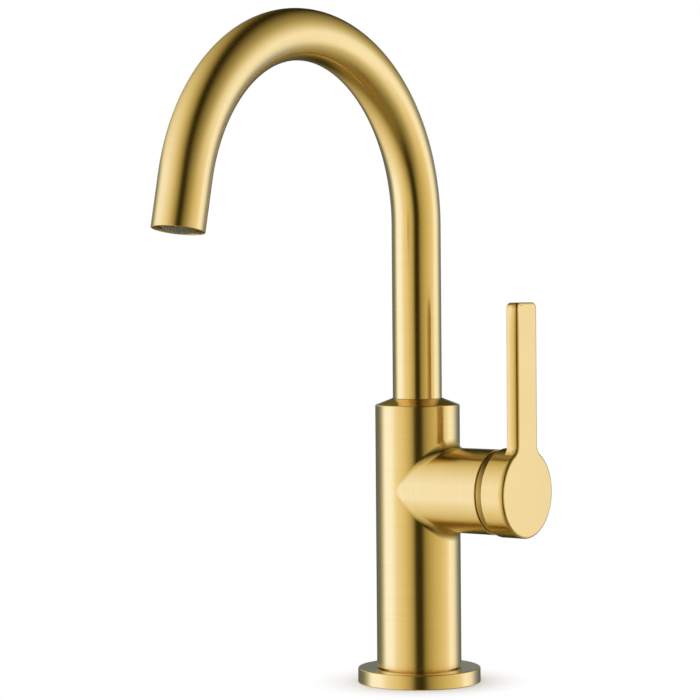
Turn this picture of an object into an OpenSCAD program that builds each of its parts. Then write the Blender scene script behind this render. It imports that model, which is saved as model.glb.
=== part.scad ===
// Gooseneck bar tap with one side lever, clamped through a 35 mm hole in a deck.
// Sizes are millimetres. The origin is the centre of the flange's underside, on the deck.
// +Z is up, the spout reaches towards -Y, and the valve's axis runs along +X.

/* [Body] */
// Diameter of the upright body
body_d = 42; // [41:0.5:44]
// Height of the body's straight side
body_top_z = 138; // [137:0.5:142]
// Rise of the cone between the body's side and the spout
cone_rise = 3.4; // [3:0.2:5]
// Diameter of the cover flange
flange_d = 61; // [60:0.5:64]
// Thickness of the cover flange
flange_h = 7.3; // [6:0.1:9]
// Height of the valve's axis
valve_z = 96.3; // [95:0.1:97]
// Diameter of the side housing, just under the body's
housing_d = 41.8; // [41.4:0.1:41.8]
// Distance from the body's axis to the end of the side housing
housing_end_x = 48.4; // [48:0.1:48.6]

/* [Spout] */
// Outer diameter of the spout tube
spout_d = 24.4; // [24.2:0.1:24.6]
// Wall of the spout tube
spout_wall = 1.2; // [1.1:0.1:1.2]
// Height at which the riser starts to bend
riser_top_z = 227.1; // [200:1:260]
// Bend radius at the tube's centre line
bend_r = 88; // [70:1:110]
// Angle that the bend turns through
bend_sweep = 167.6; // [150:0.5:180]
// Straight length after the bend
tail_len = 23.5; // [18:0.5:40]

/* [Lever] */
// Diameter of the lever's hub
hub_d = 43.5; // [43:0.1:44]
// Distance from the body's axis to the rear of the hub
hub_rear_x = 52.5; // [52.4:0.1:52.8]
// Distance from the body's axis to the hub's flat face
hub_face_x = 65.5; // [65:0.1:67]
// Width of the blade
blade_w = 17.6; // [14:0.2:22]
// Thickness of the blade
blade_t = 6.4; // [5:0.2:7]
// Height of the blade's end above the valve's axis
blade_len = 92.3; // [60:1:110]
// Radius where the blade runs into the hub
blade_web_r = 6; // [4:0.5:8]

/* [Deck clamp] */
// Outer diameter of the shank's thread, for a 35 mm hole
shank_d = 32; // [31.8:0.1:32]
// Length of the shank below the deck
shank_len = 62; // [60:1:80]
// Thickness of the deck that the clamp stands at
deck_t = 30; // [20:1:30]
// Number of jack screws in the nut
jack_count = 3; // [2:1:4]

/* [Hidden] */
$fn = 96;
// Overlap that joins or clears two faces in one plane
eps = 0.02;
// Reach of a cut past the face that it starts from
past = 1;

body_r = body_d / 2;
housing_r = housing_d / 2;
spout_r = spout_d / 2;
bore_r = spout_r - spout_wall;
hub_r = hub_d / 2;
shank_r = shank_d / 2;

// Flange, gasket and the body's spigot
spigot_z = 2;
spigot_r = 18;
gasket_r = 28;
flange_round = 0.6;

// Shank
shank_top_z = 23;
shank_bore_r = 13.2;
thread_gap = 0.1;
thread_pitch = 2;
thread_depth = 0.7;
thread_start_z = -4;

// Clamp below the deck
washer_r = 27;
rubber_t = 3;
steel_t = 2;
clamp_z = -deck_t - rubber_t - steel_t;
jack_gap = 4;
clamp_nut_h = 8;
clamp_nut_r = 26;
nut_notch_w = 6;
jack_circle_r = 21;
jack_r = 2.4;
jack_len = 20;
jack_head_r = 4;
jack_head_h = 4;

// Waterways, as [x, y] places of the upright drillings
cavity_r = 14.2;
cavity_top_z = 62;
inlet_len = 12;
inlet_r = 4.46;
cold_xy = [-7, 1];
hot_xy = [4, -7.5];
outlet_xy = [0, 7];
// The same three at the valve, as [y, z] from its axis
cold_port = [0, 7];
hot_port = [-7.5, 0];
outlet_port = [5.6, -4.6];
supply_r = 2.8;
outlet_r = 3.2;
port_seal_mid_r = 4.1;
port_seal_r = 0.9;

// Spout socket and what turns in it
socket_z = 117;
socket_r = spout_r + 0.4;
glide_z = 138.6;
glide_r = socket_r + 0.3;
slide_gap = 0.08;
foot_z = 118.2;
foot_r = socket_r - slide_gap;
foot_bore_r = 8;
tube_bottom_z = 134.5;
foot_plug_len = 9;
lap_len = 2;
o_ring_zs = [122.4, 127];
o_ring_r = 1.2;
keeper_z = 131.6;
keeper_groove_r = 11;
keeper_r = 2.45;
keeper_tip_r = 1.6;
keeper_hex_r = 1.45;
keeper_groove_w = 4.2;

// Cartridge, as distances along the valve's axis from the body's axis
chamber_x = 12;
chamber_r = 17.6;
cart_r = 17.4;
cart_in_r = 15.5;
base_x = 12.6;
base_t = 5;
shell_x = 15.6;
shell_end_x = 37;
neck_end_x = 42;
neck_r = 13.4;
neck_in_r = 11.6;
fixed_x = 17.7;
disc_t = 4;
fixed_disc_r = 13.8;
disc_gap = 0.1;
moving_x = fixed_x + disc_t + disc_gap;
carrier_x = moving_x + disc_t;
carrier_t = 4.4;
carrier_r = 11;
rotor_x = 30.5;
rotor_lip = 4.7;
rotor_end_x = 45.5;
rotor_r = neck_in_r - slide_gap;
rail_y = 11.3;
rail_w = 2.2;
slot_w = 6.4;
slot_h = 10;
nut_r = 18.8;
nut_in_r = 13.8;
nut_end_x = 43.6;
nut_slot_w = 3;
nut_slot_h = 2.5;
bonnet_x = 44;
bonnet_r = 19.4;
stop_deg = 34;
stop_open = stop_deg + 90 + 4;
stop_h = 1.6;
lug_h = 1.5;

// Pivot of the lever, and the dome that the hub tilts around
pivot_x = 41;
pivot_pin_r = 1.5;
pivot_pin_gap = 0.05;
tip_x = 28.3;
tip_r = 2.2;
tip_neck_r = 1.7;
stem_x = 32.5;
stem_w = 6;
dome_rim_r = 20.4;
dome_r = sqrt(pow(housing_end_x - pivot_x, 2) + pow(dome_rim_r, 2));
dome_wall = 1.6;
dome_end_x = 54;
hub_gap = 0.35;
hub_floor_x = 57.3;
boss_r = 7.5;
square_x = 47;
square_end_x = 63;
square_w = 8;
set_screw_x = 60;
set_screw_r = 2;
set_screw_len = 8;
plug_len = 3.3;

// Lever edges
face_round = 1.4;
rear_chamfer = 1;
blade_edge_r = 1.2;
blade_corner_r = 3;

// Outlet, as depths into the tube from its tip
bush_depth = 0.8;
bush_len = 12;
bush_r = bore_r - 0.05;
thread_r = 10.3;
aerator_depth = 0.7;
aerator_r = thread_r - 0.05;
aerator_len = 9.4;
screen_depth = 0.9;
screen_t = 0.6;
core_depth = 3.2;
core_t = 5;
core_r = 8.3;
seal_depth = 10.2;
seal_t = 1.6;
mesh_r = 9;
mesh_pitch = 1.2;
mesh_bar = 0.4;
mesh_half = floor(mesh_r / mesh_pitch) - 1;

gold = [0.86, 0.69, 0.36];
gold_shade = [0.66, 0.49, 0.22];
brass = [0.78, 0.62, 0.34];
steel = [0.72, 0.73, 0.74];
rubber = [0.12, 0.12, 0.12];
white_plastic = [0.92, 0.92, 0.9];
dark_plastic = [0.2, 0.2, 0.21];
blue_plastic = [0.25, 0.42, 0.62];
ceramic = [0.85, 0.84, 0.8];

// ---- Helpers ----

// Children stand on the valve's axis: their +Z points along +X and their +X points down.
module along_x(x) translate([x, 0, valve_z]) rotate([0, 90, 0]) children();

// Children sit at a [y, z] place off the valve's axis.
module at_port(p) translate([-p[1], p[0], 0]) children();

// Children start where the bend ends, their +Z running out along the tube.
module at_bend_end()
    translate([0, -bend_r, riser_top_z]) rotate([bend_sweep, 0, 0]) translate([0, bend_r, 0])
        children();

// Children start at a depth inside the tip, their +Z running further into the tube.
module in_from_tip(depth)
    at_bend_end() translate([0, 0, tail_len - depth]) rotate([180, 0, 0]) children();

module ring(r_out, r_in, h)
    difference() {
        cylinder(r = r_out, h = h);
        translate([0, 0, -past]) cylinder(r = r_in, h = h + 2 * past);
    }

module o_ring(mid_r, section_r) rotate_extrude() translate([mid_r, 0]) circle(r = section_r);

module hex_socket(r, depth) translate([0, 0, -depth]) cylinder(r = r, h = depth + past, $fn = 6);

module rounded_square(w, h, r) {
    translate([r, 0]) square([w - 2 * r, h]);
    translate([0, r]) square([w, h - 2 * r]);
    for (x = [r, w - r], y = [r, h - r]) translate([x, y]) circle(r = r);
}

// A square outline from the axis to r, with its two outer corners rounded.
module rounded_square_from_axis(r, h, edge_r) {
    square([r - edge_r, h]);
    translate([0, edge_r]) square([r, h - 2 * edge_r]);
    for (z = [edge_r, h - edge_r]) translate([r - edge_r, z]) circle(r = edge_r);
}

// Outline of a threaded rod of length h, its grooves as rings.
function thread_points(r, h) = concat(
    [[0, 0], [r, 0]],
    [for (i = [0:floor(h / thread_pitch) - 1], p = [0:2])
        [r - (p == 1 ? thread_depth : 0), thread_pitch * (i + [0.2, 0.6, 1][p])]],
    [[r, h], [0, h]]
);

// ---- Body and deck clamp ----

module base_flange() color(gold) difference() {
    rotate_extrude() difference() {
        rounded_square_from_axis(flange_d / 2, flange_h, flange_round);
        translate([-past, -past]) square([spigot_r + 0.1 + past, flange_h + 2 * past]);
    }
    translate([0, 0, -past]) cylinder(r = gasket_r, h = spigot_z + past);
}

module base_gasket() color(rubber) ring(gasket_r - 0.2, spigot_r + 0.2, spigot_z);

module cone_profile() polygon([
    [0, spigot_z], [spigot_r, spigot_z], [spigot_r, flange_h], [body_r, flange_h],
    [body_r, body_top_z], [spout_r, body_top_z + cone_rise], [0, body_top_z + cone_rise]
]);

module body() color(gold) difference() {
    union() {
        rotate_extrude() cone_profile();
        along_x(0) cylinder(r = housing_r, h = housing_end_x);
    }
    body_lower_cavity();
    body_waterways();
    valve_chamber();
    spout_socket();
}

module body_lower_cavity() {
    translate([0, 0, spigot_z - past])
        cylinder(r = shank_r + thread_gap, h = shank_top_z - spigot_z + past + 0.5);
    translate([0, 0, shank_top_z]) cylinder(r = cavity_r, h = cavity_top_z - shank_top_z);
    for (p = [cold_xy, hot_xy])
        translate([p[0], p[1], cavity_top_z - past]) cylinder(r = inlet_r, h = inlet_len + past);
}

module supply_drilling(xy, port) {
    floor_z = cavity_top_z + inlet_len - past;
    translate([xy[0], xy[1], floor_z])
        cylinder(r = supply_r, h = valve_z + port[1] - floor_z + supply_r);
    along_x(xy[0]) at_port(port) cylinder(r = supply_r - 0.2, h = chamber_x - xy[0] + past);
}

module body_waterways() {
    supply_drilling(cold_xy, cold_port);
    supply_drilling(hot_xy, hot_port);
    along_x(outlet_xy[0]) at_port(outlet_port)
        cylinder(r = outlet_r - 0.2, h = chamber_x - outlet_xy[0] + past);
    outlet_z = valve_z + outlet_port[1] - outlet_r;
    translate([outlet_xy[0], outlet_xy[1], outlet_z])
        cylinder(r = outlet_r, h = socket_z - outlet_z + past);
}

module valve_chamber() {
    along_x(chamber_x) cylinder(r = chamber_r, h = shell_end_x - chamber_x + eps);
    along_x(shell_end_x) cylinder(r = nut_r + thread_gap, h = bonnet_x - shell_end_x + eps);
    along_x(bonnet_x) cylinder(r = bonnet_r + 0.1, h = housing_end_x - bonnet_x + past);
}

module spout_socket() {
    top_z = body_top_z + cone_rise + past;
    translate([0, 0, socket_z]) cylinder(r = socket_r, h = top_z - socket_z);
    translate([0, 0, glide_z]) cylinder(r = glide_r, h = top_z - glide_z);
    translate([0, 0, keeper_z]) rotate([-90, 0, 0]) cylinder(r = keeper_r + 0.05, h = body_r + past);
}

module mounting_shank() color(brass) difference() {
    union() {
        translate([0, 0, thread_start_z]) cylinder(r = shank_r, h = shank_top_z - thread_start_z);
        translate([0, 0, -shank_len]) rotate_extrude()
            polygon(thread_points(shank_r, shank_len + thread_start_z));
    }
    translate([0, 0, -shank_len - past])
        cylinder(r = shank_bore_r, h = shank_len + shank_top_z + 2 * past);
}

module rubber_washer() color(rubber)
    translate([0, 0, -deck_t - rubber_t]) ring(washer_r, shank_r + 0.4, rubber_t);

module steel_washer() color(steel)
    translate([0, 0, -deck_t - rubber_t - steel_t]) ring(washer_r, shank_r + 0.3, steel_t);

module at_jacks() for (i = [0:jack_count - 1]) rotate(360 / jack_count * i) translate([jack_circle_r, 0, 0])
    children();

module mounting_nut() color(brass) translate([0, 0, clamp_z - jack_gap - clamp_nut_h]) difference() {
    ring(clamp_nut_r, shank_r + thread_gap, clamp_nut_h);
    at_jacks() translate([0, 0, -past]) cylinder(r = jack_r + 0.1, h = clamp_nut_h + 2 * past);
    // Notches for a wrench
    for (a = [45:90:315]) rotate(a) translate([clamp_nut_r - 2, -nut_notch_w / 2, -past])
        cube([4, nut_notch_w, clamp_nut_h + 2 * past]);
}

module jack_screws() color(steel) at_jacks() translate([0, 0, clamp_z - jack_len]) {
    cylinder(r = jack_r, h = jack_len);
    translate([0, 0, -jack_head_h]) cylinder(r = jack_head_r, h = jack_head_h + eps, $fn = 6);
}

// ---- Spout joint ----

module glide_ring() color(dark_plastic) translate([0, 0, glide_z])
    ring(glide_r - 0.05, spout_r + 0.1, body_top_z + cone_rise - 0.2 - glide_z);

module thrust_washer() color(white_plastic) translate([0, 0, socket_z])
    ring(socket_r - 0.3, foot_bore_r + 0.5, foot_z - socket_z - disc_gap);

module spout_retaining_screw() color(steel) translate([0, 0, keeper_z]) rotate([-90, 0, 0])
    difference() {
        union() {
            translate([0, 0, socket_r + 0.2]) cylinder(r = keeper_r, h = body_r - socket_r - 0.9);
            translate([0, 0, keeper_groove_r + 0.3])
                cylinder(r = keeper_tip_r, h = socket_r - keeper_groove_r);
        }
        translate([0, 0, body_r - 0.7]) hex_socket(keeper_hex_r, 2.5);
    }

module spout_foot() color(brass) difference() {
    union() {
        translate([0, 0, foot_z]) cylinder(r = foot_r, h = tube_bottom_z - foot_z);
        translate([0, 0, foot_z]) cylinder(r = bore_r - 0.05, h = tube_bottom_z + foot_plug_len - foot_z);
    }
    translate([0, 0, foot_z - past])
        cylinder(r = foot_bore_r, h = tube_bottom_z + foot_plug_len - foot_z + 2 * past);
    for (z = o_ring_zs) translate([0, 0, z - o_ring_r - 0.1])
        ring(foot_r + past, socket_r - 2 * o_ring_r - 0.15, 2 * o_ring_r + 0.2);
    translate([0, 0, keeper_z - keeper_groove_w / 2]) ring(foot_r + past, keeper_groove_r, keeper_groove_w);
}

module spout_o_rings() color(rubber) for (z = o_ring_zs)
    translate([0, 0, z]) o_ring(socket_r - 0.05 - o_ring_r, o_ring_r);

// The swept tube, solid, at radius r. The bend's ends lie square to its straights.
module spout_solid(r, start_z, tail) {
    translate([0, 0, start_z]) cylinder(r = r, h = riser_top_z - start_z);
    translate([0, -bend_r, riser_top_z]) rotate([90, 0, 90])
        rotate_extrude(angle = bend_sweep) translate([bend_r, 0]) circle(r = r);
    at_bend_end() cylinder(r = r, h = tail);
}

// A ring inside the wall laps the joint of bend and tail, so that the tube is one solid.
module spout_tube() color(gold) {
    difference() {
        spout_solid(spout_r, tube_bottom_z, tail_len);
        spout_solid(bore_r, tube_bottom_z - past, tail_len + past);
    }
    at_bend_end() translate([0, 0, -lap_len / 2])
        ring(spout_r - spout_wall / 3, bore_r + spout_wall / 3, lap_len);
}

// ---- Outlet ----

module outlet_bush() color(brass) difference() {
    in_from_tip(bush_depth) ring(bush_r, thread_r, bush_len);
    // Widened mouth
    in_from_tip(bush_depth) translate([0, 0, -past]) cylinder(r = thread_r + 0.3, h = past + 0.4);
}

module aerator_seal() color(rubber) in_from_tip(seal_depth) ring(aerator_r - 0.1, core_r - 0.3, seal_t);

module aerator_housing() color(gold_shade) in_from_tip(aerator_depth) difference() {
    cylinder(r = aerator_r, h = aerator_len);
    // Seat of the screen, and the narrower way in above it
    translate([0, 0, -past]) cylinder(r = mesh_r + 0.1, h = past + 1.4);
    translate([0, 0, past]) cylinder(r = core_r + 0.1, h = aerator_len);
}

module aerator_core() color(white_plastic) in_from_tip(core_depth) difference() {
    cylinder(r = core_r, h = core_t);
    // Rings of jet holes, as [radius, number]
    for (n = [[0, 1], [3.2, 6], [6.2, 12]], i = [0:n[1] - 1])
        rotate(360 / n[1] * i) translate([n[0], 0, -past]) cylinder(r = 0.8, h = core_t + 2 * past);
}

module aerator_screen() color(steel) in_from_tip(screen_depth) linear_extrude(screen_t) difference() {
    circle(r = mesh_r);
    for (i = [-mesh_half:mesh_half], j = [-mesh_half:mesh_half])
        if (norm([i, j]) * mesh_pitch < mesh_r - 1.2)
            translate([i * mesh_pitch, j * mesh_pitch]) square(mesh_pitch - mesh_bar, center = true);
}

// ---- Valve cartridge ----

module port_holes(r_in, r_out, h) {
    for (p = [cold_port, hot_port])
        at_port(p) translate([0, 0, -past]) cylinder(r = r_in, h = h + 2 * past);
    at_port(outlet_port) translate([0, 0, -past]) cylinder(r = r_out, h = h + 2 * past);
}

module cartridge_base() color(white_plastic) along_x(base_x) difference() {
    union() {
        cylinder(r = cart_r, h = shell_x - base_x);
        cylinder(r = cart_in_r - 0.1, h = base_t);
    }
    port_holes(supply_r - 0.4, outlet_r - 0.4, base_t);
    for (p = [cold_port, hot_port, outlet_port])
        at_port(p) translate([0, 0, -past])
            ring(port_seal_mid_r + port_seal_r + 0.05, port_seal_mid_r - port_seal_r - 0.05, past + 1.3);
}

module cartridge_seals() color(rubber) along_x(chamber_x + port_seal_r + 0.05)
    for (p = [cold_port, hot_port, outlet_port]) at_port(p) o_ring(port_seal_mid_r, port_seal_r);

// Turned shell whose end carries the stop: a ring with an open sector for the rotor's lug.
module cartridge_housing() color(blue_plastic) along_x(shell_x) difference() {
    lip = shell_end_x - 1.5 - shell_x;
    shell_h = shell_end_x - shell_x;
    neck_h = neck_end_x - shell_x;
    rotate_extrude() polygon([
        [cart_in_r, 0], [cart_r, 0], [cart_r, shell_h], [neck_r, shell_h],
        [neck_r, neck_h + stop_h], [neck_in_r, neck_h + stop_h], [neck_in_r, lip], [cart_in_r, lip]
    ]);
    translate([0, 0, neck_h]) ring(neck_in_r + 0.4, neck_in_r - 1, stop_h + past);
    translate([0, 0, neck_h]) linear_extrude(stop_h + past) stop_sector();
}

// The lug swings from straight up to straight forward, so its sector is centred between them.
module stop_sector() rotate(180 + 45) polygon([
    [0, 0],
    for (s = [-1, 0, 1]) 2 * neck_r * [cos(s * stop_open / 2), sin(s * stop_open / 2)]
]);

module fixed_disc() color(ceramic) along_x(fixed_x) difference() {
    cylinder(r = fixed_disc_r, h = disc_t);
    port_holes(supply_r - 0.2, outlet_r, disc_t);
}

// Its hollow back joins the open inlet to the outlet, whatever way the rotor has turned.
module moving_disc() color(ceramic) along_x(moving_x) difference() {
    cylinder(r = carrier_r, h = disc_t);
    translate([0, 0, -past]) cylinder(r = 4.2, h = past + 2);
    rotate(-75) translate([0, 0, -past]) rotate_extrude(angle = 150) square([9.6, past + 2]);
}

module disc_carrier() color(dark_plastic) along_x(carrier_x) difference() {
    cylinder(r = carrier_r, h = carrier_t);
    translate([-tip_r - 0.1, -tip_r - 0.1, 0.3]) cube([2 * tip_r + 0.2, 2 * tip_r + 0.2, carrier_t]);
}

module cartridge_rotor() color(white_plastic) difference() {
    union() {
        along_x(rotor_x) cylinder(r = cart_in_r - 0.3, h = rotor_lip);
        along_x(rotor_x) cylinder(r = rotor_r, h = rotor_end_x - rotor_x);
        // Rails that turn the carrier and let it slide
        for (s = [-1, 1]) translate([carrier_x + 0.3, s * (rail_y + rail_w / 2), valve_z])
            translate([0, -rail_w / 2, -slot_h / 2]) cube([rotor_x - carrier_x, rail_w, slot_h]);
        // Lug that meets the two ends of the stop
        along_x(neck_end_x + 0.3) rotate(180 - stop_deg / 2) rotate_extrude(angle = stop_deg)
            translate([rotor_r - past, 0]) square([neck_r - rotor_r + past, lug_h]);
    }
    // Slot for the stem
    translate([rotor_x - 5, -slot_w / 2, valve_z - slot_h / 2])
        cube([rotor_end_x - rotor_x + 10, slot_w, slot_h]);
    translate([pivot_x, 0, valve_z]) rotate([90, 0, 0])
        cylinder(r = pivot_pin_r + pivot_pin_gap, h = 2 * cart_in_r, center = true);
}

module pivot_pin() color(steel) translate([pivot_x, 0, valve_z]) rotate([90, 0, 0])
    cylinder(r = pivot_pin_r, h = 2 * rotor_r - 2, center = true);

module stem() color(brass) difference() {
    union() {
        along_x(tip_x) sphere(r = tip_r);
        along_x(tip_x) cylinder(r = tip_neck_r, h = 6);
        translate([stem_x, -stem_w / 2, valve_z - stem_w / 2])
            cube([square_x - stem_x + past, stem_w, stem_w]);
        translate([square_x, -square_w / 2, valve_z - square_w / 2])
            cube([square_end_x - square_x, square_w, square_w]);
    }
    translate([pivot_x, 0, valve_z]) rotate([90, 0, 0])
        cylinder(r = pivot_pin_r + pivot_pin_gap, h = stem_w + 2 * past, center = true);
}

module cartridge_nut() color(brass) along_x(shell_end_x) difference() {
    ring(nut_r, nut_in_r, nut_end_x - shell_end_x);
    for (a = [0:60:300]) rotate(a)
        translate([15, -nut_slot_w / 2, nut_end_x - shell_end_x - nut_slot_h])
            cube([10, nut_slot_w, nut_slot_h + past]);
}

// A thin dome about the pivot, with a skirt inside the housing's mouth.
module bonnet_ring() color(gold_shade) along_x(pivot_x) rotate_extrude() difference() {
    union() {
        intersection() {
            difference() {
                circle(r = dome_r);
                circle(r = dome_r - dome_wall);
            }
            translate([dome_wall, housing_end_x - pivot_x]) square([dome_r, dome_end_x - housing_end_x]);
        }
        translate([bonnet_r - dome_wall, bonnet_x - pivot_x])
            square([dome_wall, housing_end_x - bonnet_x + 0.8]);
    }
    translate([bonnet_r - 0.9, bonnet_x + 1 - pivot_x]) square([2, 1.9]);
}

module bonnet_seal() color(rubber) along_x(bonnet_x + 1.95) o_ring(bonnet_r - 0.44, 0.45);

// ---- Lever ----

// Outline of the round hub about the pivot, hollow behind so that it tilts around the dome.
module hub_profile() {
    rear = hub_rear_x - pivot_x;
    face = hub_face_x - pivot_x;
    difference() {
        union() {
            polygon([
                [0, rear], [hub_r - rear_chamfer, rear], [hub_r, rear + rear_chamfer],
                [hub_r, face - face_round], [hub_r - face_round, face], [0, face]
            ]);
            translate([hub_r - face_round, face - face_round]) circle(r = face_round);
        }
        intersection() {
            circle(r = dome_r + hub_gap);
            translate([-1, 0]) square([hub_r, hub_floor_x - pivot_x]);
        }
    }
    translate([0, rear - past]) square([boss_r, hub_floor_x - hub_rear_x + 2 * past]);
}

module blade() {
    back_x = hub_face_x - blade_t;
    root_z = 8;
    intersection() {
        translate([back_x, -blade_w / 2, valve_z + root_z]) linear_extrude(blade_len - root_z)
            rounded_square(blade_t, blade_w, blade_edge_r);
        along_x(back_x - past) translate([-blade_len, -blade_w / 2, 0]) linear_extrude(blade_t + 2 * past)
            rounded_square(blade_len, blade_w, blade_corner_r);
    }
}

// Fills the corner between the blade's side and the hub's rim with an arc.
module blade_web(side) {
    mid_y = blade_w / 2 + blade_web_r;
    mid_z = sqrt(pow(hub_r + blade_web_r, 2) - pow(mid_y, 2));
    rim_angle = atan2(mid_z, mid_y);
    arc = [for (i = [0:8]) let (a = 180 + rim_angle * i / 8)
        [side * (mid_y + blade_web_r * cos(a)), mid_z + blade_web_r * sin(a)]];
    root_y = side * (blade_w / 2 - 1);
    translate([hub_face_x - blade_t, 0, valve_z]) rotate([90, 0, 90]) linear_extrude(blade_t)
        polygon(concat([[root_y, mid_z]], arc, [[root_y, mid_z - 12]]));
}

module handle() color(gold) difference() {
    union() {
        along_x(pivot_x) rotate_extrude() hub_profile();
        blade();
        for (side = [-1, 1]) blade_web(side);
    }
    // Square hole for the stem, and the set screw's hole
    hole_w = square_w + 0.1;
    translate([hub_rear_x - 2 * past, -hole_w / 2, valve_z - hole_w / 2])
        cube([square_end_x + 0.2 - hub_rear_x + 2 * past, hole_w, hole_w]);
    translate([set_screw_x, 0, valve_z]) rotate([-90, 0, 0])
        cylinder(r = set_screw_r + 0.1, h = hub_r + past);
}

module handle_set_screw() color(steel) translate([set_screw_x, square_w / 2 + 0.05, valve_z])
    rotate([-90, 0, 0]) difference() {
        cylinder(r = set_screw_r, h = set_screw_len);
        translate([0, 0, set_screw_len]) hex_socket(1.15, 2.5);
    }

module set_screw_plug() color(gold_shade) translate([set_screw_x, hub_r - plug_len - 0.1, valve_z])
    rotate([-90, 0, 0]) cylinder(r = set_screw_r + 0.05, h = plug_len);

// ---- Drawing ----

base_flange();
base_gasket();
body();
mounting_shank();
rubber_washer();
steel_washer();
mounting_nut();
jack_screws();
glide_ring();
thrust_washer();
spout_retaining_screw();
cartridge_base();
cartridge_seals();
cartridge_housing();
fixed_disc();
cartridge_nut();
bonnet_ring();
bonnet_seal();
cartridge_rotor();
pivot_pin();
stem();
handle();
handle_set_screw();
set_screw_plug();
disc_carrier();
moving_disc();
spout_tube();
spout_foot();
spout_o_rings();
outlet_bush();
aerator_seal();
aerator_housing();
aerator_core();
aerator_screen();
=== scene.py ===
"""Looks of the gooseneck bar tap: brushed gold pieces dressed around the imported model.

The frame is the model's own, in metres: the flange stands on z = 0, the spout reaches towards -Y
and the valve's axis runs along +X. Sizes named here are in millimetres.
"""
import math

import bmesh
import bpy
import numpy as np
from mathutils import Matrix, Vector
from mathutils.geometry import tessellate_polygon


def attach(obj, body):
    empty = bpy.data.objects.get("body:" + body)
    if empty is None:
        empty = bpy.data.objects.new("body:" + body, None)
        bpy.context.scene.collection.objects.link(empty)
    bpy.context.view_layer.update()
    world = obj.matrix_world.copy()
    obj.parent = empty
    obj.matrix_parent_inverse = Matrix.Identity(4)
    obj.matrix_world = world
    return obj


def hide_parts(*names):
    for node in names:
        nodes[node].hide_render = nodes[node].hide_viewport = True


MM = 0.001

# Sizes shared with the part's source
BODY_R = 21.0
BODY_TOP_Z = 138.0
CONE_RISE = 3.4
FLANGE_R = 30.5
FLANGE_H = 7.3
SPIGOT_R = 18.0
SPIGOT_Z = 2.0
GASKET_R = 28.0
SHANK_HOLE_R = 16.1
SHANK_TOP_Z = 23.0
CAVITY_R = 14.2
CAVITY_TOP_Z = 62.0
INLET_R = 4.46
INLET_LEN = 12.0
INLETS = [(-7.0, 1.0), (4.0, -7.5)]
SUPPLY_R = 2.8
VALVE_Z = 96.3
HOUSING_R = 20.9
HOUSING_END_X = 48.4
SPOUT_R = 12.2
SPOUT_WALL = 1.2
TUBE_BOTTOM_Z = 134.5
RISER_TOP_Z = 227.1
BEND_R = 88.0
BEND_SWEEP = math.radians(167.6)
TAIL_LEN = 23.5
# The tip as pictured is this much farther out
TIP_REACH = 0.6
SOCKET_R = SPOUT_R + 0.4
SOCKET_Z = 117.0
GLIDE_R = SOCKET_R + 0.3
GLIDE_Z = 138.6
KEEPER_Z = 131.6
KEEPER_HOLE_R = 2.5
PIVOT_X = 41.0
DOME_R = math.hypot(HOUSING_END_X - PIVOT_X, 20.4)
DOME_WALL = 1.6
DOME_END_X = 54.0
BONNET_X = 44.0
BONNET_R = 19.4
NUT_R = 18.9
NUT_X = 37.0
HUB_R = 21.75
HUB_REAR_X = 52.5
HUB_FACE_X = 65.5
HUB_FLOOR_X = 57.3
HUB_GAP = 0.35
BOSS_R = 7.5
SET_SCREW_X = 60.0
PLUG_HOLE_R = 2.1
BLADE_W = 17.6
BLADE_T = 6.4
BLADE_LEN = 92.3
BLADE_WEB_R = 6.0
BLADE_CORNER_R = 3.0
MESH_R = 9.0
SCREEN_DEPTH = 0.9

# Softer forms that only the looks have
TEE_FILLET = 5.0
SHOULDER_ROUND = 0.8
MOUTH_ROUND = 0.35
RIM_ROUND = 0.45
# The groove between the body's foot and the flange
FOOT_GAP = 0.6
FOOT_DEPTH = 2.4
# The lever's front edge, across the outline and back from the face: on its -Y side and elsewhere
FACE_EDGE = (1.5, 2.9)
CRISP_EDGE = (1.5, 0.9)
# On the blade's -Y side the edge is this much wider and deeper, fading out to the hub and the top
BLADE_EDGE = (0.7, 1.7)
HUB_FADE = 8.0
TOP_FADE = 12.0
BACK_ROUND = 0.8
REAR_ROUND = 0.5
HUB_BORE_R = 4.6
# Depth of the retaining screw's and the plug's holes, and how far each way along X the hub's
# grid leaves room for the plug's
HOLE_DEPTH = 3.0
PLUG_WINDOW = 2.4
# The tip is cut this far off square, nearer to level, over its last stretch
TIP_SLANT = math.tan(math.radians(2.4))
TIP_STRETCH = 10.0
RING_DEPTH = 0.2
SCREEN_RISE = 2.6
WIRE_PITCH = 0.95
WIRE_R = 0.17

# The photograph's camera
VIEW_AZIMUTH = math.radians(37.41)
VIEW_PITCH = math.radians(1.47)
VIEW_ROLL = math.radians(-0.46)
VIEW_DISTANCE = 1.28414
VIEW_SIDE = -0.0333
VIEW_HEIGHT = 0.19833
VIEW_LENS = 132.92
SENSOR = 36.0

TOWARDS_CAMERA = Vector((math.sin(VIEW_AZIMUTH), -math.cos(VIEW_AZIMUTH), 0))
CAMERA_RIGHT = Vector((math.cos(VIEW_AZIMUTH), math.sin(VIEW_AZIMUTH), 0))

TURN = 2 * math.pi


# ---- Meshes ----

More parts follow.
